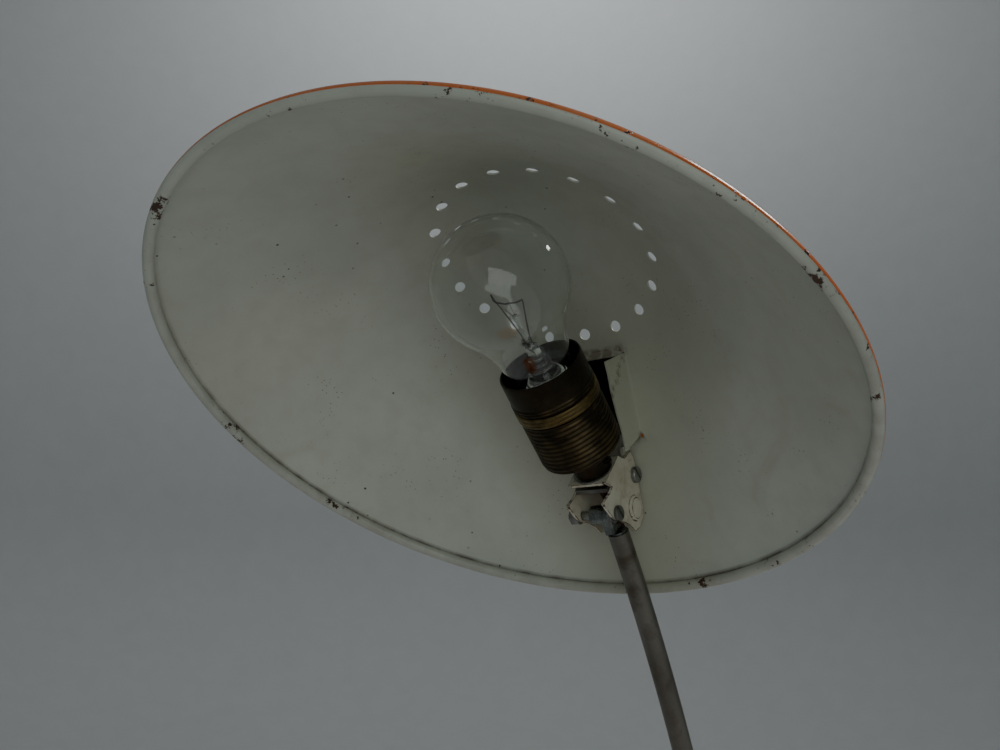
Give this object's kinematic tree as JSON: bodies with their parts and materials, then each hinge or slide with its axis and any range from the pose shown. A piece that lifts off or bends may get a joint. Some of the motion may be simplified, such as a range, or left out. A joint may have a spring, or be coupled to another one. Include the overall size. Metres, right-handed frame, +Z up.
{
  "type": "examination lamp",
  "caption": "Bench examination lamp: tilting enamelled bowl shade with a clear bulb in a threaded brass lampholder, on a bent steel tube and a round weighted base with a push switch.",
  "frame": {"origin": "centre of the base's underside", "axes": "+Z up, +X forwards the way the bulb points"},
  "size_m": [0.3916, 0.2994, 0.5557],
  "materials": {
    "shade_enamel": "worn off-white enamel inside, orange outside",
    "orange_enamel": "gloss orange enamel",
    "cream_paint": "aged cream paint, semi-gloss",
    "zinc_steel": "dull zinc plate",
    "stem_steel": "worn nickel plate with brown patina",
    "aged_brass": "oxidised dark brass",
    "bright_brass": "rubbed brass",
    "socket_brass": "bare brass",
    "porcelain": "white glaze",
    "bulb_glass": "clear",
    "cap_metal": "dull aluminium",
    "black_glass": "black vitrite",
    "solder": "soft solder",
    "lead_wire": "nickel wire",
    "tungsten": "dark tungsten",
    "lead_sheath": "dark red-brown rubber",
    "base_iron": "orange enamel on cast iron",
    "plate_steel": "plain zinc-plated sheet",
    "felt": "dark green felt",
    "black_rubber": "matt",
    "black_plastic": "black moulded plastic",
    "white_plastic": "moulded nylon"
  },
  "bodies": {
    "stand": {"stem": "stem_steel", "stem_eye": "zinc_steel", "stem_lead": "lead_sheath", "head_lead": "lead_sheath", "stem_collar": "stem_steel", "stem_washer": "zinc_steel", "stem_locknut": "zinc_steel", "base_body": "base_iron", "base_plate": "plate_steel", "base_plate_screws": "zinc_steel", "felt_pad": "felt", "cord_grommet": "black_rubber", "cord_anchor": "white_plastic", "cord_anchor_screws": "zinc_steel", "terminal_block": "white_plastic", "terminal_screws": "socket_brass", "base_wires": "black_rubber", "switch_body": "black_plastic", "switch_bezel": "zinc_steel", "switch_spring": "zinc_steel"},
    "head": {"shade": "shade_enamel", "slot_hood": "orange_enamel", "lamp_bracket": "cream_paint", "bracket_tie": "zinc_steel", "shade_screws": "zinc_steel", "shade_nuts": "zinc_steel", "hinge_screw": "zinc_steel", "hinge_nut": "zinc_steel", "hinge_washers": "zinc_steel", "holder_nipple": "socket_brass", "holder_locknut": "aged_brass", "holder_washer": "zinc_steel", "holder_cap": "aged_brass", "holder_lock_screw": "aged_brass", "holder_shell": "aged_brass", "holder_ring": "bright_brass", "holder_skirt": "aged_brass", "holder_insert": "porcelain", "holder_terminals": "socket_brass", "socket_shell": "socket_brass", "centre_contact": "socket_brass"},
    "bulb": {"bulb_glass": "bulb_glass", "bulb_cap": "cap_metal", "bulb_insulator": "black_glass", "bulb_contact": "solder", "bulb_stem": "bulb_glass", "bulb_leads": "lead_wire", "filament_supports": "lead_wire", "bulb_filament": "tungsten"},
    "button": {"switch_button": "black_plastic"}
  },
  "joints": [
    {"name": "head_tilt", "type": "hinge", "parent": "stand", "child": "head", "pos_m": [0.06555, -0.007, 0.42145], "axis": [0, 1, 0], "range_deg": [-4, 60], "deforming": ["head_lead"]},
    {"name": "bulb_unscrew", "type": "slide", "parent": "head", "child": "bulb", "axis": [0.7604, 0, 0.6494], "range_m": [0, 0.018]},
    {"name": "switch_press", "type": "slide", "parent": "stand", "child": "button", "axis": [0, 0, -1], "range_m": [0, 0.0025], "stiffness_N_per_m": 800, "deforming": ["switch_spring"]}
  ]
}
